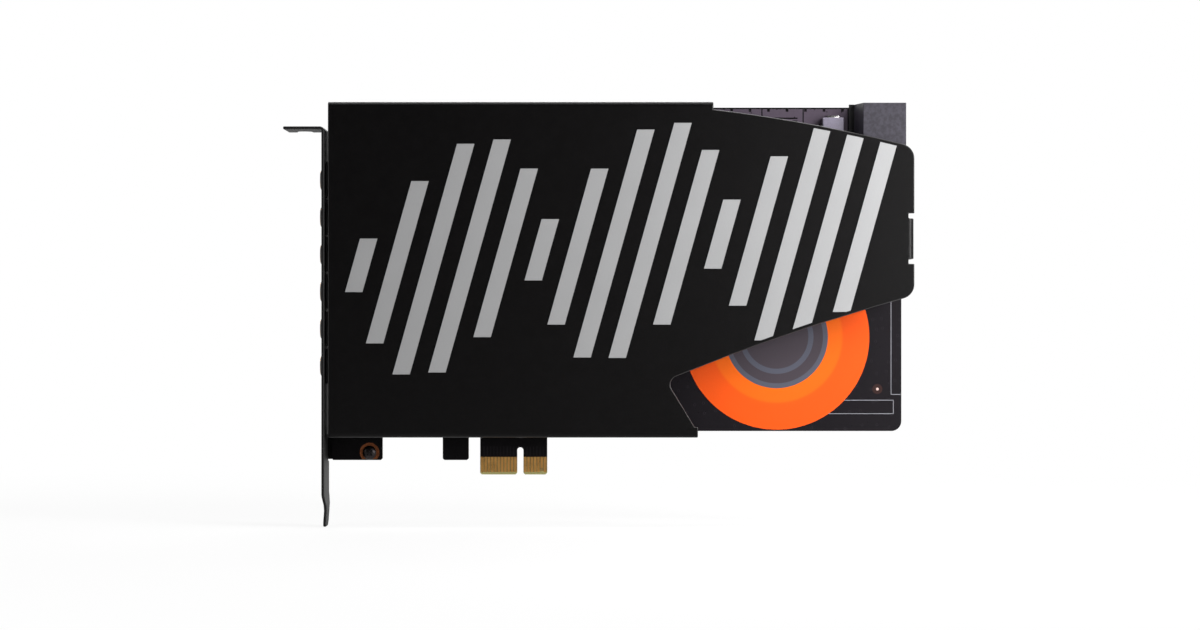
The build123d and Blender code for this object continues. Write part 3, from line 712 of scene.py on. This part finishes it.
class SOUNDCARD_OT_finish_bracket(bpy.types.Operator):
    """Paint the bracket and set a black nose with a plated liner in front of each jack"""

    bl_idname = "soundcard.finish_bracket"
    bl_label = "Finish Bracket"

    def execute(self, context):
        card = settings()
        light = [2.2 * channel for channel in card.cover.bracket]
        # The bracket's rounded edges take half the thin-coat colour: partly thin paint, partly a painted
        # edge highlight
        thin = [0.5 * channel for channel in card.cover.thin_coat_and_highlight]
        grains = card.cover.bracket, light, thin
        satin = powder_coat("bracket_paint", *grains, 0.6 * MM, roughness=0.58, specular=0.2)
        soften("bracket", card.cover.sheet_edge, satin)
        self.line_jacks(card)
        return {"FINISHED"}

    def line_jacks(self, card):
        """Turn a plated liner and a black nose round each jack's bore."""
        low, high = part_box("jack_ferrules")
        depth = high.x - low.x
        outer = (high.y - low.y) / 2
        lip = 0.12 * outer
        # Steps of the two rounded rims, in lips: inward or outward, and down from the top
        mouth = [(0, 1.6), (0.3, 0.7), (1.1, 0.1), (1.8, 0)]
        brow = [(0.7, 0.2), (0.2, 0.4), (0, 0.9)]
        liners = bmesh.new()
        noses = bmesh.new()
        for mount in JACK_MOUNTS:
            inner = mount["dims"]["r_mm"] * MM
            seam = outer - 1.2 * lip
            foot = Vector((high.x, mount["pos_m"][1], mount["pos_m"][2]))
            inner_rim = [(inner + out * lip, depth - down * lip) for out, down in mouth]
            outer_rim = [(outer - back * lip, depth - down * lip) for back, down in brow]
            liner = [(inner, 0), *inner_rim, (seam, depth), (seam, 0)]
            nose = [(seam, 0), (seam, outer_rim[0][1]), *outer_rim, (outer, 0)]
            add_turned(liners, liner, foot, mount["axis"], card.fittings.turns, closed=True)
            add_turned(noses, nose, foot, mount["axis"], card.fittings.turns, closed=True)
        gold = plain_metal("ferrule_gold", card.board.gold, roughness=0.24, wear=0.15)
        black = moulded("nose_plastic", card.fittings.plastic, roughness=0.42)
        add_piece("jack_noses", noses, black)
        rings = add_piece("jack_rings", liners, gold)
        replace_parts(rings, "jack_ferrules")


class SOUNDCARD_OT_make_screws(bpy.types.Operator):
    """Turn the two screws with a cross recess, and lay the copper ring under the bracket's one"""

    bl_idname = "soundcard.make_screws"
    bl_label = "Make Screws"

    def execute(self, context):
        card = settings()
        metal = plain_metal("screw_black", card.fittings.screw, roughness=0.3, wear=0.4)
        for node in ("bracket_screw", "cover_screw"):
            self.make_screw(node, metal, card.fittings.turns)
        self.make_pad(card)
        return {"FINISHED"}

    def make_screw(self, node, metal, turns):
        """A pan head on the side where the solid's head is, with a plain shank."""
        low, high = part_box(node)
        middle = (low + high) / 2
        radius = (high.x - low.x) / 2
        in_front = COMPONENT_SIDE - low.y > high.y - SOLDER_SIDE
        seat = COMPONENT_SIDE if in_front else SOLDER_SIDE
        head = COMPONENT_SIDE - low.y if in_front else high.y - SOLDER_SIDE
        reach = high.y - COMPONENT_SIDE if in_front else SOLDER_SIDE - low.y
        axis = OUT_OF_FRONT if in_front else -OUT_OF_FRONT
        foot = Vector((middle.x, seat, middle.z))
        shank = 0.57 * radius
        stem = [(0, -reach), (0.8 * shank, -reach), (shank, -reach + 0.3 * shank), (shank, 0)]
        pan = [(1, 0), (1, 0.42), (0.95, 0.68), (0.8, 0.87), (0.58, 0.97), (0.3, 1), (0, 1)]
        shape = bmesh.new()
        add_turned(shape, stem + scaled(radius, head, pan), foot, axis, turns)
        self.cut_cross(shape, foot, axis, radius, head)
        screw = add_piece(node + "_pan_head", shape, metal)
        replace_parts(screw, node)

    def cut_cross(self, shape, foot, axis, radius, head):
        """Sink a cross into the top of the head, between planes that first divide its faces."""
        half_arm = 0.1 * radius
        arm_end = 0.52 * radius
        across = Vector((1, 0, 1)).normalized()
        upward = Vector((-1, 0, 1)).normalized()
        for direction in (across, upward):
            for offset in (-arm_end, -half_arm, half_arm, arm_end):
                bmesh.ops.bisect_plane(
                    shape,
                    geom=shape.verts[:] + shape.edges[:] + shape.faces[:],
                    plane_co=foot + direction * offset,
                    plane_no=direction,
                    dist=0.0005 * MM,
                )
        cross = []
        for face in shape.faces:
            place = face.calc_center_median() - foot
            u, v = abs(place.dot(across)), abs(place.dot(upward))
            in_arm = (u < half_arm and v < arm_end) or (v < half_arm and u < arm_end)
            if in_arm and place.dot(axis) > 0.5 * head:
                cross.append(face)
        sunk = bmesh.ops.extrude_face_region(shape, geom=cross)["geom"]
        bmesh.ops.delete(shape, geom=cross, context="FACES")
        depth = 0.55 * head
        bmesh.ops.translate(shape, verts=only(bmesh.types.BMVert, sunk), vec=-depth * axis)

    def make_pad(self, card):
        """A copper ring whose lower side is cut straight."""
        low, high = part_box("bracket_screw")
        middle = (low + high) / 2
        ring = (high.x - low.x) / 2
        foot = Vector((middle.x, COMPONENT_SIDE, middle.z))
        hole, rim, film = 0.6 * ring, 1.42 * ring, 0.03 * MM
        shape = bmesh.new()
        profile = [(hole, 0), (hole, film), (rim, film), (rim, 0)]
        add_turned(shape, profile, foot, OUT_OF_FRONT, card.fittings.turns, closed=True)
        cut = bmesh.ops.bisect_plane(
            shape,
            geom=shape.verts[:] + shape.edges[:] + shape.faces[:],
            plane_co=foot + Vector((0, 0, -card.board.pad_flat)),
            plane_no=Vector((0, 0, -1)),
            clear_outer=True,
        )["geom_cut"]
        bmesh.ops.edgenet_fill(shape, edges=only(bmesh.types.BMEdge, cut))
        bmesh.ops.recalc_face_normals(shape, faces=shape.faces)
        copper = plain_metal("bare_copper", card.board.copper, roughness=0.38, wear=0.45)
        add_piece("screw_pad", shape, copper)


class SOUNDCARD_OT_finish_board(bpy.types.Operator):
    """Mask the board, plate its contacts and print its legend"""

    bl_idname = "soundcard.finish_board"
    bl_label = "Finish Board"

    def execute(self, context):
        card = settings()
        paint("circuit_board", solder_mask(card))
        along_slide = (3.0, 1.0, 0.2)
        gold = plain_metal("contact_gold", card.board.gold, roughness=0.3, wear=0.12, stretch=along_slide)
        paint("edge_contacts", gold)
        self.print_legend(card)
        self.set_fiducial(card)
        return {"FINISHED"}

    def print_legend(self, card):
        """A corner frame at the far end, and a box under the label that is open towards the cover."""
        line = card.board.legend_line
        film = 0.02 * MM
        frame_left = BOARD_HIGH.x - 3.2 * MM
        frame_low, frame_high = 24.2 * MM, 56.0 * MM
        box_left, box_right = 93.3 * MM, 113.1 * MM
        box_low, box_high = 18.35 * MM, 22.6 * MM
        rim = BOARD_HIGH.x - 0.2 * MM
        strokes = [
            (frame_left, frame_low, frame_left + line, frame_high),
            (frame_left, frame_low, rim, frame_low + line),
            (box_left, box_low, box_right, box_low + line),
            (box_left, box_high - line, box_right, box_high),
            (box_right - line, box_low, box_right, box_high),
        ]
        shape = bmesh.new()
        for left, bottom, right, top in strokes:
            low = Vector((left, COMPONENT_SIDE - film, bottom))
            add_block(shape, low, Vector((right, COMPONENT_SIDE, top)))
        ink = moulded("legend_ink", card.board.legend, roughness=0.6, grain=0.1 * MM)
        add_piece("board_legend", shape, ink)

    def set_fiducial(self, card):
        """A plated dot in a ring of bare laminate."""
        foot = Vector((108.2 * MM, COMPONENT_SIDE, 25.9 * MM))
        dot, clear, film = 0.42 * MM, 1.5 * MM, 0.02 * MM
        turns = card.fittings.turns
        shape = bmesh.new()
        add_turned(shape, [(0, 0), (dot, 0), (dot, film), (0, film)], foot, OUT_OF_FRONT, turns)
        plated = plain_metal("fiducial_flash", card.board.flash, roughness=0.35, wear=0.1, metallic=0.3)
        add_piece("fiducial_dot", shape, plated)
        shape = bmesh.new()
        profile = [(dot, 0), (dot, film / 2), (clear, film / 2), (clear, 0)]
        add_turned(shape, profile, foot, OUT_OF_FRONT, turns, closed=True)
        bare = moulded("fiducial_clearing", card.board.clearing, roughness=0.5, specular=0.2)
        add_piece("fiducial_clearing", shape, bare)


class SOUNDCARD_OT_print_label(bpy.types.Operator):
    """Print the rings on the round label"""

    bl_idname = "soundcard.print_label"
    bl_label = "Print Label"

    def execute(self, context):
        paint("round_label", label_print(settings()))
        return {"FINISHED"}


class SOUNDCARD_OT_finish_connectors(bpy.types.Operator):
    """Finish the jacks, the power socket and the header, and solder their tails behind the board"""

    bl_idname = "soundcard.finish_connectors"
    bl_label = "Finish Connectors"

    def execute(self, context):
        card = settings()
        black = moulded("jack_plastic", card.fittings.plastic, roughness=0.42)
        tin = plain_metal("tin_plate", card.board.tin, roughness=0.32)
        fine_edge = card.fittings.moulded_edge / 2
        for name in JACK_NAMES:
            soften(name + HOUSING, fine_edge, black)
            paint(name + LEAVES, tin)
        # The socket's housing gets a painted shade at its foot, up to 0.95 mm above the board
        grey = moulded(
            "socket_plastic",
            card.fittings.socket,
            roughness=0.42,
            grain=0.9 * MM,
            contrast=2.4,
            foot=0.95 * MM,
        )
        soften("power_socket_housing", fine_edge, grey)
        paint("power_socket_pins", tin)
        nylon = moulded("header_plastic", card.fittings.plastic, roughness=0.5)
        soften("front_panel_header", fine_edge, nylon)
        paint("front_panel_pins", plain_metal("pin_gold", card.board.gold, roughness=0.28, wear=0.05))
        self.solder_tails(card)
        return {"FINISHED"}

    def solder_tails(self, card):
        """A joint round each tail: at the rear end of a bent pin, and under the middle of a leaf."""
        shape = bmesh.new()
        for node in ("power_socket_pins", "front_panel_pins"):
            for low, high in solids_of(node):
                half = (high.z - low.z) / 2
                add_joint(shape, low.x + half, low.z + half, half + 0.62 * MM, high.y - SOLDER_SIDE)
        for name in JACK_NAMES:
            for low, high in solids_of(name + LEAVES):
                middle = (low + high) / 2
                add_joint(shape, middle.x, middle.z, 1.2 * MM, high.y - SOLDER_SIDE)
        solder = plain_metal("solder", card.board.tin, roughness=0.22, wear=0.2)
        add_piece("solder_joints", shape, solder, sharp_angle=60.0)


class SOUNDCARD_OT_finish_chips(bpy.types.Operator):
    """Give the chips their epoxy, leads and first-pin dots"""

    bl_idname = "soundcard.finish_chips"
    bl_label = "Finish Chips"

    def execute(self, context):
        card = settings()
        epoxy = moulded("chip_epoxy", card.fittings.epoxy, roughness=0.55, grain=0.12 * MM, specular=0.35)
        leaded = {
            "output_amplifiers": (1.27, False),
            "playback_converter": (0.8, True),
            "recording_converter": (0.65, False),
            "headphone_amplifier": (0.65, True),
            "audio_controller": (0.5, True),
            "bus_bridge": (0.5, True),
            "memory_chip": (1.27, False),
            "voltage_regulators": (2.3, False),
        }
        inset, dot, film = 1.0 * MM, 0.32 * MM, 0.015 * MM
        disc = [(0, 0), (dot, 0), (dot, film), (0, film)]
        leads = bmesh.new()
        dots = bmesh.new()
        for node, (pitch, on_four_sides) in leaded.items():
            paint(node, epoxy)
            for low, high in solids_of(node):
                self.add_leads(leads, low, high, pitch * MM, on_four_sides)
                corner = Vector((low.x + inset, low.y, high.z - inset))
                add_turned(dots, disc, corner, OUT_OF_FRONT, turns=16)
        add_piece("chip_leads", leads, plain_metal("lead_tin", card.board.tin, roughness=0.3))
        ink = moulded("chip_dot", card.fittings.first_pin, roughness=0.6)
        add_piece("chip_dots", dots, ink)
        return {"FINISHED"}

    def add_leads(self, shape, low, high, pitch, on_four_sides):
        """Bent leads along two or all four sides of a chip."""
        middle = (low + high) / 2
        height = COMPONENT_SIDE - low.y
        sides = [(0, 1), (0, -1)] + ([(1, 0), (-1, 0)] if on_four_sides else [])
        for side_x, side_z in sides:
            out = Vector((side_x, 0, side_z))
            along = Vector((abs(side_z), 0, abs(side_x)))
            span = (high - low).dot(along)
            edge = (high - low).dot(Vector((abs(side_x), 0, abs(side_z)))) / 2
            count = max(2, int((span - 0.6 * pitch) / pitch) + 1)
            for place in range(count):
                root = middle + out * edge + along * (place - (count - 1) / 2) * pitch
                root.y = COMPONENT_SIDE
                self.add_lead(shape, root, out, along * 0.42 * pitch, 0.5 * height)

    def add_lead(self, shape, root, out, width, height):
        """One lead: out of the chip, down to the board and along it."""
        sheet = 0.13 * MM
        reach = min(1.0 * MM, 1.4 * height)
        top = [(0, height), (0.35 * reach, height), (0.6 * reach, sheet), (reach, sheet)]
        under = [(reach, 0), (0.5 * reach, 0), (0.25 * reach, height - sheet), (0, height - sheet)]
        outline = [root + out * far + OUT_OF_FRONT * up - width / 2 for far, up in top + under]
        add_prism(shape, outline, width)


class SOUNDCARD_OT_finish_passives(bpy.types.Operator):
    """Finish the capacitors, relays, crystals and chokes"""

    bl_idname = "soundcard.finish_passives"
    bl_label = "Finish Passives"

    def execute(self, context):
        card = settings()
        self.make_cans(card)
        film = moulded("film_case", card.fittings.film, roughness=0.3)
        self.make_boxes("film_capacitors", "film_boxes", "film_case", film)
        relay = moulded("relay_case", card.fittings.plastic, roughness=0.38)
        self.make_boxes("relays", "relay_boxes", "relay_case", relay)
        paint("clock_crystals", plain_metal("crystal_can", card.fittings.crystal, roughness=0.35))
        choke = moulded("choke_case", card.fittings.choke, roughness=0.45, grain=0.3 * MM)
        soften("chokes", card.fittings.moulded_edge, choke)
        paint("ceramic_capacitors", moulded("ceramic_body", card.fittings.ceramic, roughness=0.4))
        self.make_terminals(card)
        self.solder_legs(card)
        return {"FINISHED"}

    def make_cans(self, card):
        """Round capacitors: a sleeve rolled over a beaded can, and the can's bare top."""
        foot_edge = [(0.5, 0), (0.96, 0), (1, 0.03)]
        bead = [(1, 0.13), (0.93, 0.17), (0.93, 0.19), (1, 0.23)]
        rolled_edge = [(1, 0.95), (0.96, 0.985), (0.86, 1), (0.82, 0.985)]
        bare_top = [(0.84, 0.96), (0.8, 0.985), (0, 0.985)]
        cans = solids_of("electrolytic_capacitors")
        turns = card.fittings.turns
        sleeves = bmesh.new()
        tops = bmesh.new()
        for low, high in cans:
            foot = Vector(((low.x + high.x) / 2, COMPONENT_SIDE, (low.z + high.z) / 2))
            radius = (high.x - low.x) / 2
            height = COMPONENT_SIDE - low.y
            profile = scaled(radius, height, foot_edge + bead + rolled_edge)
            add_turned(sleeves, profile, foot, OUT_OF_FRONT, turns)
            add_turned(tops, scaled(radius, height, bare_top), foot, OUT_OF_FRONT, turns)
        film = sleeve_film("can_sleeve", card.fittings.sleeve, card.fittings.stripe, cans)
        sleeve = add_piece("can_sleeves", sleeves, film)
        metal = plain_metal("can_metal", card.fittings.can, roughness=0.3)
        add_piece("can_tops", tops, metal)
        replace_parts(sleeve, "electrolytic_capacitors")

    def make_boxes(self, node, name, slot, finish):
        """Moulded boxes with rounded edges."""
        shape = bmesh.new()
        for low, high in solids_of(node):
            add_block(shape, low, high, edge=0.35 * MM)
        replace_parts(add_piece(name, shape, finish), node)

    def make_terminals(self, card):
        """Bright ends of the chokes and ceramic capacitors."""
        shape = bmesh.new()
        stand_out = 0.6 * MM
        for low, high in solids_of("chokes"):
            inset = 0.22 * (high.x - low.x)
            face = low.y + 0.2 * (high.y - low.y)
            for level in (low.z, high.z):
                near = Vector((low.x + inset, face, level - stand_out))
                far = Vector((high.x - inset, COMPONENT_SIDE, level + stand_out))
                add_block(shape, near, far, edge=0.12 * MM)
        skin = 0.05 * MM
        out = Vector((skin, skin, skin))
        for low, high in solids_of("ceramic_capacitors"):
            cap = 0.2 * (high.z - low.z)
            lower_end = Vector((high.x, COMPONENT_SIDE, low.z + cap)) + out * 0.9
            upper_start = Vector((low.x, low.y, high.z - cap)) - out
            add_block(shape, low - out, lower_end, edge=0.1 * MM)
            add_block(shape, upper_start, high + Vector((skin, 0, skin)), edge=0.1 * MM)
        tin = plain_metal("terminal_tin", card.board.tin, roughness=0.26)
        add_piece("terminals", shape, tin)

    def solder_legs(self, card):
        """Joints behind the board for the parts whose legs pass through it."""
        pitch = 2.54 * MM
        relay_legs = [((column - 1.5) * pitch, row * pitch) for column in range(4) for row in (-1, 1)]
        wire_shares = {"film_capacitors": 0.35, "electrolytic_capacitors": 0.21}
        shape = bmesh.new()
        for node in ("relays", *wire_shares):
            for low, high in solids_of(node):
                middle = (low + high) / 2
                wire = wire_shares.get(node, 0) * (high.x - low.x)
                legs = relay_legs if node == "relays" else [(-wire, 0), (wire, 0)]
                for along, upward in legs:
                    add_joint(shape, middle.x + along, middle.z + upward, base=0.95 * MM, rise=1.1 * MM)
        solder = plain_metal("leg_solder", card.board.tin, roughness=0.22, wear=0.2)
        add_piece("leg_joints", shape, solder, sharp_angle=60.0)


class SOUNDCARD_OT_set_stage(bpy.types.Operator):
    """Set the floor, the lamps, the world and the camera"""

    bl_idname = "soundcard.set_stage"
    bl_label = "Set Stage"

    def execute(self, context):
        stage = settings().stage
        self.lay_floor(stage)
        self.light_world(context, stage)
        self.hang_lamps(context)
        self.place_camera(context, stage)
        context.scene.view_settings.view_transform = "Standard"
        return {"FINISHED"}

    def lay_floor(self, stage):
        """A round floor that fades from showing the shadow to plain white."""
        finish = Finish("floor", roughness=0.9, specular_ior_level=0.0)
        seen = finish.node("ShaderNodeLightPath", output="Is Camera Ray")
        finish.surface(base_color=finish.blend(seen, stage.floor_bounce, stage.floor))
        white = finish.node("ShaderNodeEmission", sockets={"Color": (1.0, 1.0, 1.0), "Strength": 1.0})
        x, y, _ = finish.axes()
        distance = x.math("SQRT", x * x + y * y)
        far = finish.step(distance, stage.floor_near / MM, stage.floor_far / MM)
        behind = finish.step(y, -stage.floor_near / MM, stage.floor_near / MM)
        share = finish.background_rays(behind) * (stage.floor_glow + (1 - stage.floor_glow) * far)
        lit = Value(finish, finish.shader.outputs[0])
        mixed = finish.node("ShaderNodeMixShader", sockets={0: share, 1: lit, 2: white})
        finish.feed(finish.tree.nodes["Material Output"].inputs["Surface"], mixed)
        shape = bmesh.new()
        bmesh.ops.create_circle(shape, cap_ends=True, radius=1.3 * stage.floor_far, segments=96)
        bmesh.ops.translate(shape, verts=shape.verts, vec=(0, 0, CAD_BOX[0].z))
        floor = add_object("floor", shape, finish)

    def light_world(self, context, stage):
        """White where the camera looks and behind the card, and dim elsewhere."""
        world = bpy.data.worlds.new("studio")
        context.scene.world = world
        nodes = NodeTree(world)
        backdrop = nodes.tree.nodes["Background"]
        direction = nodes.node("ShaderNodeTexCoord", output="Generated")
        depth = nodes.node("ShaderNodeSeparateXYZ", sockets={0: direction}, output="Y")
        behind = nodes.step(depth, -0.1, 0.5)
        strength = stage.ambient + (1 - stage.ambient) * nodes.background_rays(behind)
        nodes.feed(backdrop.inputs["Color"], (1.0, 1.0, 1.0))
        nodes.feed(backdrop.inputs["Strength"], strength)

    def hang_lamps(self, context):
        """Lamps overhead, near on the right, on both sides of the camera and behind."""
        # Name, place, width and height in metres, and power in watts
        lamps = [
            ("overhead", (0.03, -0.06, 0.75), (0.7, 0.14), 2.6),
            ("right_box", (0.31, -0.2, 0.17), (0.14, 0.3), 2.0),
            ("front_box", (0.36, -0.75, 0.1), (0.16, 0.3), 1.25),
            ("left_strip", (-0.62, -0.6, 0.12), (0.12, 0.4), 1.3),
            ("rear_box", (0.1, 0.9, 0.6), (0.9, 0.6), 9.0),
        ]
        aim = (CAD_BOX[0] + CAD_BOX[1]) / 2
        for name, place, (width, height), power in lamps:
            light = bpy.data.lights.new(name, "AREA")
            light.shape = "RECTANGLE"
            light.size = width
            light.size_y = height
            light.energy = power
            lamp = bpy.data.objects.new(name, light)
            context.scene.collection.objects.link(lamp)
            lamp.location = place
            lamp.rotation_euler = (aim - Vector(place)).to_track_quat("-Z", "Y").to_euler()

    def place_camera(self, context, stage):
        """A camera square to the board."""
        data = bpy.data.cameras.new("camera")
        data.sensor_width = 36.0
        data.sensor_fit = "HORIZONTAL"
        data.lens = data.sensor_width * stage.distance / stage.view_width
        camera = bpy.data.objects.new("camera", data)
        context.scene.collection.objects.link(camera)
        camera.location = (stage.view_x, COMPONENT_SIDE - stage.distance, stage.view_z)
        camera.rotation_euler = (math.radians(90), 0, 0)
        context.scene.camera = camera


SETTINGS = (CoverSettings, BoardSettings, LabelSettings, FittingSettings, StageSettings, SoundCardSettings)
OPERATORS = (
    SOUNDCARD_OT_set_stage,
    SOUNDCARD_OT_finish_cover,
    SOUNDCARD_OT_finish_bracket,
    SOUNDCARD_OT_make_screws,
    SOUNDCARD_OT_finish_board,
    SOUNDCARD_OT_print_label,
    SOUNDCARD_OT_finish_connectors,
    SOUNDCARD_OT_finish_chips,
    SOUNDCARD_OT_finish_passives,
)


class SOUNDCARD_PT_dressing(bpy.types.Panel):
    """Steps and settings of the sound card's dressing"""

    bl_idname = "SOUNDCARD_PT_dressing"
    bl_label = "Sound Card"
    bl_space_type = "VIEW_3D"
    bl_region_type = "UI"
    bl_category = "Sound Card"

    def draw(self, context):
        for operator in OPERATORS:
            self.layout.operator(operator.bl_idname)
        card = context.scene.sound_card
        for group in (card.cover, card.board, card.label, card.fittings, card.stage):
            box = self.layout.box()
            for name in group.__annotations__:
                box.prop(group, name)


def register():
    for item in SETTINGS + OPERATORS + (SOUNDCARD_PT_dressing,):
        bpy.utils.register_class(item)
    bpy.types.Scene.sound_card = PointerProperty(type=SoundCardSettings)


def unregister():
    del bpy.types.Scene.sound_card
    for item in reversed(SETTINGS + OPERATORS + (SOUNDCARD_PT_dressing,)):
        bpy.utils.unregister_class(item)


def main():
    register()
    bpy.ops.soundcard.set_stage()
    bpy.ops.soundcard.finish_cover()
    bpy.ops.soundcard.finish_bracket()
    bpy.ops.soundcard.make_screws()
    bpy.ops.soundcard.finish_board()
    bpy.ops.soundcard.print_label()
    bpy.ops.soundcard.finish_connectors()
    bpy.ops.soundcard.finish_chips()
    bpy.ops.soundcard.finish_passives()


if __name__ == "__main__":
    main()
